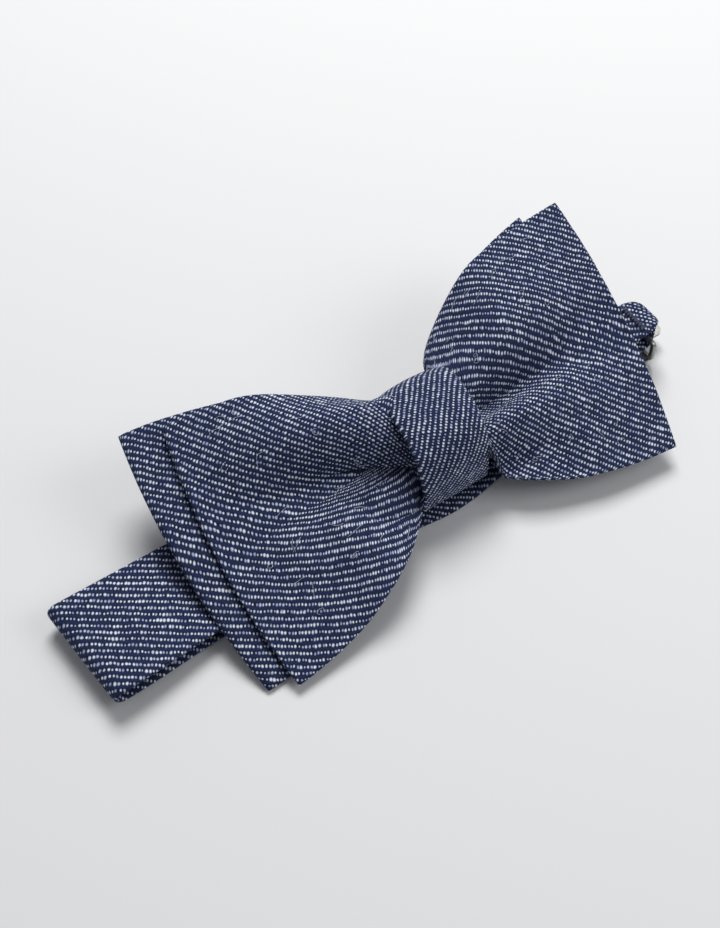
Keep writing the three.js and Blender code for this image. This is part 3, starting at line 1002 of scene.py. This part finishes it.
@dataclass
class Band:
    """A flat strap of cloth along a line in the XZ plane."""

    name: str
    line: Array
    half_width: Callable[[Array], Array]
    thick: float = 1.3
    sides: int = 26  # points across one face
    settle: Callable[[Array], Array] = lambda points: points  # how the finished strap comes to lie

    def build(self) -> bpy.types.Object:
        """Makes the strap with soft round edges."""
        line = resample(self.line, STRAP_STEP)
        ahead = directions(line)
        aside = np.stack([-ahead[:, 1], ahead[:, 0]], 1)
        far = path_length(line)
        s = np.sin(np.linspace(math.pi / 2, -math.pi / 2, self.sides))
        half = self.half_width(line[:, 0])[:, None]
        from_edge = half * (1 - np.abs(s))[None, :]
        rim = np.sqrt(np.clip(1 - (1 - np.clip(from_edge / 0.8, 0, 1)) ** 2, 0, 1))
        pillow = self.thick / 2 * rim * (0.9 + 0.1 * (1 - s * s))
        y = half * s[None, :]
        faces = []
        for sign in (1, -1):
            lift = sign * np.maximum(pillow, 0.04)
            x = line[:, :1] + aside[:, :1] * lift
            z = line[:, 1:] + aside[:, 1:] * lift
            faces.append(np.stack([x, y, z], 2))
        points = self.settle(np.concatenate([faces[0], faces[1][:, ::-1]], axis=1))
        cloth = np.zeros(points.shape[:2] + (2,))
        cloth[:, :, 0] = far[:, None]
        cloth[:, :self.sides, 1] = y
        cloth[:, self.sides:, 1] = 2 * half - y[:, ::-1]
        cloth = np.concatenate([cloth, cloth[:, :1]], axis=1)
        return ClothMesh(self.name, points, cloth).build()


@dataclass
class NeckStrap:
    """The strap that runs under the bows, folds back at the left and carries the hook and the eye."""

    thick: float = 1.4
    lower: float = 1.6  # middle of the lower run where it crosses the slider
    left_run: float = 4.5
    upper: float = 5.75
    fold_radius: float = 1.9
    tip_taper: float = 8.0
    tip_half: float = 5.4
    eye_bar: tuple[float, float] = (64.0, 8.05)
    eye_loop: float = 1.6
    curl: float = 3.4  # radius of the full curl over the eye's bar
    hook_bar: tuple[float, float] = (59.5, 2.95)
    hook_loop: float = 1.35
    tail: float = 7.0
    pinch_end: float = 9.3
    fold_from: float = -56.0  # the strap lies askew to the left of this
    fold_run: float = 34.0  # and the distance in which it comes to
    fold_slip: tuple[float, float] = (1.1, 2.0)  # how far the fold slips outwards, and to the lower edge
    fold_skew: tuple[float, float] = (0.13, 0.05)  # how that changes across the strap
    fold_rise: float = 2.5
    knot_squeeze: float = 0.10  # share by which the knot narrows the upper run
    pull: float = 2.2  # how far the lower run is pulled towards the lower edge near the knot
    pull_at: float = -2.0
    pull_run: float = 13.0

    def half_width(self, x: Array) -> Array:
        """Half the strap's width at x, narrowing to the tips."""
        half = high_mm("neck_strap")[1]
        tip = self.tip_half * np.sqrt(1 - np.clip((x - 61.0) / 7.2, 0, 0.9) ** 2)
        return lerp(half, tip, smooth((x - self.hook_bar[0] + 1 + self.tip_taper) / self.tip_taper))

    def settle(self, points: Array) -> Array:
        """Lets the strap come to lie as it does when it is put down.

        Args:
            points: The strap's points as laid out straight, in millimetres.

        Returns:
            The same points with the left fold askew and raised, the upper run narrowed in the knot
            and the lower run pulled to one side there.
        """
        x, y, z = (points[..., k] for k in range(3))
        settled = points.copy()
        share = smooth((self.fold_from - x) / self.fold_run)
        settled[..., 0] -= share * (self.fold_slip[0] + self.fold_skew[0] * y)
        settled[..., 1] += share * (self.fold_skew[1] * y - self.fold_slip[1])
        settled[..., 2] += share * self.fold_rise
        upper_run = smooth((z - 2.5) / 2.0)
        settled[..., 1] *= 1.0 - self.knot_squeeze * np.exp(-((x / 10.0) ** 2)) * upper_run
        lower_run = 1.0 - smooth((z - 1.6) / 1.5)
        settled[..., 1] -= self.pull * lower_run * np.exp(-(((x - self.pull_at) / self.pull_run) ** 2))
        return settled

    def line(self) -> Array:
        """The strap's middle, from the tail behind the eye to the tail behind the hook."""
        left = low_mm("neck_strap")[0]
        fold = left + self.fold_radius + self.thick / 2
        eye_x, eye_z = self.eye_bar
        hook_x, hook_z = self.hook_bar
        taper = hook_x - 1
        floor = self.thick / 2
        curl_top = eye_z - self.eye_loop + 2 * self.curl
        return np.concatenate([
            [[eye_x - self.tail, eye_z - self.eye_loop]],
            arc(eye_x, eye_z - self.eye_loop + self.curl, self.curl, -90, 90),
            easy(eye_x - 2, curl_top, taper - self.tip_taper - 8, self.upper, 24),
            easy(-self.pinch_end - 1, self.upper, -3 * self.pinch_end, self.left_run),
            arc(fold, floor + self.fold_radius, self.fold_radius, 90, 270),
            easy(self.pinch_end / 2, floor, self.pinch_end + 6, self.lower),
            [[taper - self.tip_taper - 2, self.lower]],
            arc(hook_x, hook_z, self.hook_loop, -90, 90),
            [[hook_x - self.tail, hook_z + self.hook_loop]],
        ])

    def build(self) -> bpy.types.Object:
        """Makes the strap's cloth in one length."""
        return Band(
            "neck_strap_cloth", self.line(), self.half_width, self.thick - 0.1, settle=self.settle
        ).build()

    def build_tape(self) -> bpy.types.Object:
        """Makes the tape inside the strap, a little shorter and narrower."""
        line = resample(self.line(), STRAP_STEP)[2:-2]
        return Band(
            "strap_tape_piece", line, lambda x: self.half_width(x) - 1.2, 0.4, settle=self.settle
        ).build()

    def return_layer(self) -> Band:
        """The layer that comes back from the hook to the slider under the bows."""
        start = high_mm("strap_tail")[0] + 0.2
        end = self.hook_bar[0] - self.tail - 0.3
        low, high = low_mm("strap_tail")[2], self.hook_bar[1] + self.hook_loop
        line = easy(start, low + 0.8, end, high, 24)
        return Band("strap_return", line, lambda x: self.half_width(x) * 0.98, 0.7)

    def tail_at_slider(self) -> Band:
        """The end of the strap's cloth, folded round the slider's raised bar."""
        low, high = low_mm("strap_tail"), high_mm("strap_tail")
        wall = 0.35
        middle = (low[2] + high[2]) / 2
        round_bar = (high[2] - low[2] - wall) / 2
        near = low[0] + wall / 2 + round_bar
        flap = [[high[0], middle + wall / 2], [high[0] - 3.6, middle + wall / 2]]
        line = np.concatenate([
            flap,
            easy(high[0] - 3.8, middle + wall / 2, near + 1.0, middle + round_bar, 8),
            arc(near, middle, round_bar, 90, 270),
            easy(near + 1.0, middle - round_bar, high[0] - 3.8, middle - wall / 2, 8),
            [[x, z - wall] for x, z in reversed(flap)],
        ])
        return Band("strap_tail_cloth", line, lambda x: np.full_like(x, high[1]), wall)


# ---------------------------------------------------------------- Threads and fibres


@dataclass
class BarTack:
    """A short dense zigzag of thread sewn across the strap, in the place of its CAD node."""

    node: str
    rise: float = 0.0  # how far the cloth lies above its plain height
    pitch: float = 0.42
    radius: float = 0.17

    def build(self) -> bpy.types.Object:
        """Makes the zigzag, each stitch arched over the cloth."""
        low, high = low_mm(self.node), high_mm(self.node)
        count = int((high[1] - low[1]) / self.pitch)
        steps = 8
        t = np.linspace(0, 1, count * steps + 1)
        swing = np.abs((t * count) % 2 - 1)
        x = lerp(low[0] + self.radius, high[0] - self.radius, smooth(swing))
        y = lerp(low[1], high[1], t)
        arch = np.sin(math.pi * swing) * 0.16
        z = low[2] + self.rise - 0.06 + arch + 0.03 * np.sin(t * count * 2.3)
        points, faces = tube(np.stack([x, y, z], 1), self.radius, 6)
        return make_object(self.node + "_thread", points, faces)


@dataclass
class SeamStitch:
    """One stitch that draws the ends of the knot band together at the back."""

    node: str
    radius: float = 0.16

    def build(self) -> bpy.types.Object:
        """Makes the stitch as a thread lying across the seam, with both ends sunk into the cloth."""
        low, high = low_mm(self.node), high_mm(self.node)
        t = np.linspace(-1, 1, 13)
        middle = (low + high) / 2
        x = middle[0] + 0.22 * t
        y = middle[1] + t * (high[1] - low[1]) / 2
        z = middle[2] + 0.12 + 0.55 * np.abs(t) ** 5
        points, faces = tube(np.stack([x, y, z], 1), self.radius, 8)
        return make_object(self.node + "_thread", points, faces)


@dataclass
class Winding:
    """The thread wound round the waists of both bows."""

    node: str = "gather_winding"
    turns: int = 8
    radius: float = 0.24

    def build(self) -> bpy.types.Object:
        """Makes the winding as one thread in close turns."""
        low, high = low_mm(self.node) + self.radius, high_mm(self.node) - self.radius
        middle, half = (low + high) / 2, (high - low) / 2
        turn = np.linspace(0, 2 * math.pi * self.turns, self.turns * 40)
        full = 2 / 2.5
        y = middle[1] + half[1] * np.sign(np.cos(turn)) * np.abs(np.cos(turn)) ** full
        z = middle[2] + half[2] * np.sign(np.sin(turn)) * np.abs(np.sin(turn)) ** full
        x = np.linspace(low[0], high[0], len(turn)) + 0.08 * np.sin(turn * 0.7)
        points, faces = tube(np.stack([x, y, z], 1), self.radius, 7)
        return make_object("gathering_thread", points, faces)


@dataclass
class StrayFibres:
    """Loose curls of pale weft that stand a little off the cloth."""

    name: str
    skin: Array  # rings x places x 3, the surface they lie on
    count: int
    seed: int = 8
    radius: float = 0.045

    def at(self, ring: float, place: float) -> Array:
        """The point of the surface between four of its points."""
        i, j = int(ring), int(place)
        a, b = ring - i, place - j
        near = lerp(self.skin[i, j], self.skin[i, j + 1], b)
        return lerp(near, lerp(self.skin[i + 1, j], self.skin[i + 1, j + 1], b), a)

    def build(self) -> bpy.types.Object:
        """Makes every fibre as a thin curled hair."""
        draw = np.random.default_rng(self.seed)
        rings, places = self.skin.shape[:2]
        hairs = []
        for _ in range(self.count):
            ring, place = draw.uniform(0.06, 0.9) * rings, draw.uniform(0.06, 0.9) * places
            heading, curl = draw.uniform(0, 2 * math.pi), draw.normal(0, 0.35)
            line = []
            steps = 12
            for k in range(steps):
                lift = 0.08 + 0.35 * math.sin(math.pi * k / (steps - 1)) * draw.uniform(0.6, 1.0)
                line.append(self.at(ring, place) + np.array([0, -0.2, 1.0]) * lift)
                heading += curl + draw.normal(0, 0.25)
                ring = float(np.clip(ring + 0.75 * math.cos(heading), 1, rings - 2.01))
                place = float(np.clip(place + 0.75 * math.sin(heading), 1, places - 2.01))
            hairs.append(tube(np.array(line), self.radius, 5))
        points, faces = joined(hairs)
        return make_object(self.name, points, faces)


# ---------------------------------------------------------------- Studio


@dataclass(frozen=True)
class Studio:
    """The plain floor, the soft light and the camera."""

    camera_place: tuple = (-97.66, -119.04, 235.06)
    azimuth: float = 33.4  # the camera looks this far from +Y towards +X
    elevation: float = 56.9
    lens: float = 45.45

    def build(self) -> None:
        """Sets up the floor, the lamps, the surroundings and the camera."""
        self.floor()
        self.lamp("key", at=(260, 440, 760), size=420, power=7.2)
        self.lamp("fill", at=(480, -380, 520), size=420, power=1.5)
        world = bpy.data.worlds.new("soft_surroundings")
        world.use_nodes = True
        world.node_tree.nodes["Background"].inputs[0].default_value = (0.93, 0.95, 1.0, 1)
        world.node_tree.nodes["Background"].inputs[1].default_value = 0.22
        bpy.context.scene.world = world
        bpy.context.scene.view_settings.view_transform = "Standard"
        self.camera()

    def floor(self) -> None:
        """Lays the pale surface, just under the lowest cloth."""
        reach = 3000.0
        corners = np.array([[-reach, -reach, 0], [reach, -reach, 0], [reach, reach, 0], [-reach, reach, 0]])
        floor = make_object("floor", corners, np.array([[0, 1, 2, 3]]))
        floor.data.materials.append(PalePaper().make())

    def lamp(self, name: str, at: tuple, size: float, power: float) -> None:
        """Hangs a square soft lamp that faces the tie.

        Args:
            name: The lamp's name.
            at: Its place, in millimetres.
            size: The length of its side.
            power: Its power in watts.
        """
        data = bpy.data.lights.new(name, "AREA")
        data.size = size * MM
        data.energy = power
        lamp = bpy.data.objects.new(name, data)
        lamp.location = Vector(at) * MM
        lamp.rotation_euler = (-lamp.location).to_track_quat("-Z", "Y").to_euler()
        bpy.context.scene.collection.objects.link(lamp)

    def camera(self) -> None:
        """Places the camera in front, to the left and above."""
        data = bpy.data.cameras.new("camera")
        data.lens = self.lens
        data.clip_start = 0.01
        camera = bpy.data.objects.new("camera", data)
        turn, down = math.radians(self.azimuth), math.radians(self.elevation)
        ahead = Vector((math.sin(turn) * math.cos(down), math.cos(turn) * math.cos(down), -math.sin(down)))
        camera.location = Vector(self.camera_place) * MM
        camera.rotation_mode = "QUATERNION"
        camera.rotation_quaternion = ahead.to_track_quat("-Z", "Y")
        bpy.context.scene.collection.objects.link(camera)
        bpy.context.scene.camera = camera


# ---------------------------------------------------------------- The tie


@dataclass
class BowTie:
    """The whole tie, built from the inside out."""

    twill: bpy.types.Material = field(default_factory=lambda: FleckedTwill().make())
    canvas: bpy.types.Material = field(default_factory=lambda: PlainCanvas().make())
    thread: bpy.types.Material = field(default_factory=lambda: SewingThread().make())
    nickel: bpy.types.Material = field(default_factory=lambda: SatinNickel().make())
    fibre: bpy.types.Material = field(
        default_factory=lambda: SewingThread("pale_fibre", (0.62, 0.66, 0.78), (0.30, 0.34, 0.46)).make()
    )

    def build(self) -> None:
        """Builds and dresses every sub-assembly."""
        self.bows()
        self.knot()
        self.strap()
        self.carried_over()

    def bows(self) -> None:
        """Builds both bows with their canvas."""
        knot_top = high_mm("knot_wrap")[2]
        left_crease = Fold(start=(-6, 0.6), end=(-54, 4), depth=15.5, narrow=2.0, wide=13.0,
                           bend=-0.8, fade=0.8, below=(7.5, 15.0), step=0.72)
        left_ridge = Fold(start=(-8, 7), end=(-38, 14), depth=-3.4, narrow=3.4, wide=8.0)
        right_crease = Fold(start=(8, -1), end=(54, 0), depth=12.0, narrow=2.6, wide=10.5,
                            fade=0.6, below=(3.5, 7.0), step=0.45)
        front = Bow(
            "front_bow_cloth",
            Wing(reach=54.0, drop=5.2, tilt=0.31, slant=0.05, puff=2.2, early=1.6, shift=-1.0,
                 sag=6.0, sag_from=1.0, twist=8.0, folds=(left_crease, left_ridge), roll=1.5),
            Wing(reach=54.4, drop=0.4, tilt=0.38, slant=0.14, puff=1.8, early=2.2, spread=5.0,
                 sag=9.0, twist=8.0, folds=(right_crease,), roll=0.8),
            pinch_z=knot_top - 7.35, pinch=7.6, swell=2.4, waist=23.0,
        )
        rear = Bow(
            "rear_bow_cloth",
            Wing(reach=61.4, drop=5.2, tilt=0.30, puff=0.0, early=1.6, shift=2.5, sag=2.0),
            Wing(reach=46.8, drop=0.4, tilt=0.38, slant=0.14, puff=0.0, early=2.2, shift=3.6, sag=1.5),
            pinch_z=front.pinch_z - 6.9, pinch=5.6, swell=0.3, waist=21.0, over=front, seed=5,
        )
        stacked = ((front, "front_bow", "rear_bow_cloth"), (rear, "rear_bow", "neck_strap_cloth"))
        for bow, node, under in stacked:
            cloth = place(bow.build(), "tie", self.twill, Slot.CLOTH, [node])
            canvas = place(bow.build_canvas(), "tie", self.canvas, Slot.CANVAS, [node + "_canvas"])
            width, length = bow.flat_size()
            width, length = bow.flat_size(bow.inset, bow.trim)
        fuzz = StrayFibres("stray_fibres", front.upper_side(), 90)
        place(fuzz.build(), "tie", self.fibre, Slot.THREAD)
        place(Winding().build(), "tie", self.thread, Slot.THREAD, ["gather_winding"])

    def knot(self) -> None:
        """Builds the knot band."""
        low, high = low_mm("knot_wrap"), high_mm("knot_wrap")
        band = KnotBand("knot_band", bottom=low[2], top=high[2] - 0.6, half=high[1] - 1.5)
        inside = band.wall + 0.12
        lining = KnotBand(
            "knot_band_lining", bottom=band.bottom + inside, top=band.top - inside, half=band.half - inside,
            strap_rise=band.strap_rise - inside, width=band.width - 2.4, wall=0.4, corner=2.9,
        )
        inner = place(lining.build(), "tie", self.canvas, Slot.CANVAS, ["knot_lining"])
        inner_round = float(path_length(lining.outline())[-1])
        lining.width * MM
        piece = place(band.build(), "tie", self.twill, Slot.CLOTH, ["knot_wrap"])
        round_it = float(path_length(band.outline())[-1])
        band.width * MM
        for k in range(1, 5):
            node = f"seam_stitch_{k}"
            place(SeamStitch(node).build(), "tie", self.thread, Slot.THREAD, [node])

    def strap(self) -> None:
        """Builds the neck strap with its tape, its tail at the slider and its tacks."""
        strap = NeckStrap()
        piece = place(strap.build(), "tie", self.twill, Slot.CLOTH, ["neck_strap"])
        length = float(path_length(strap.line())[-1])
        tape = place(strap.build_tape(), "tie", self.canvas, Slot.CANVAS, ["strap_tape"])
        tail = strap.tail_at_slider()
        flap = place(tail.build(), "slider", self.twill, Slot.CLOTH, ["strap_tail"])
        float(path_length(tail.line)[-1]) * MM
        back = strap.return_layer()
        layer = back.build()
        layer.data.materials.append(self.twill)
        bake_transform(layer)
        float(path_length(back.line)[-1]) * MM
        rise = 2 * (strap.curl - strap.eye_loop)
        for tack, body in ((BarTack("eye_tack", rise), "tie"), (BarTack("hook_tack"), "tie"),
                           (BarTack("tail_tack"), "slider")):
            place(tack.build(), body, self.thread, Slot.THREAD, [tack.node])

    def carried_over(self) -> None:
        """Dresses the metal pieces, which stay as they are."""
        for name in ("strap_eye", "strap_hook", "strap_slider"):
            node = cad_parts[name]
            node.data.materials.clear()
            node.data.materials.append(self.nickel)


def main() -> None:
    """Builds the studio and the tie."""
    logging.basicConfig(level=logging.INFO, format="%(name)s: %(message)s")
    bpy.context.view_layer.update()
    Studio().build()
    BowTie().build()


if __name__ == "__main__":
    main()
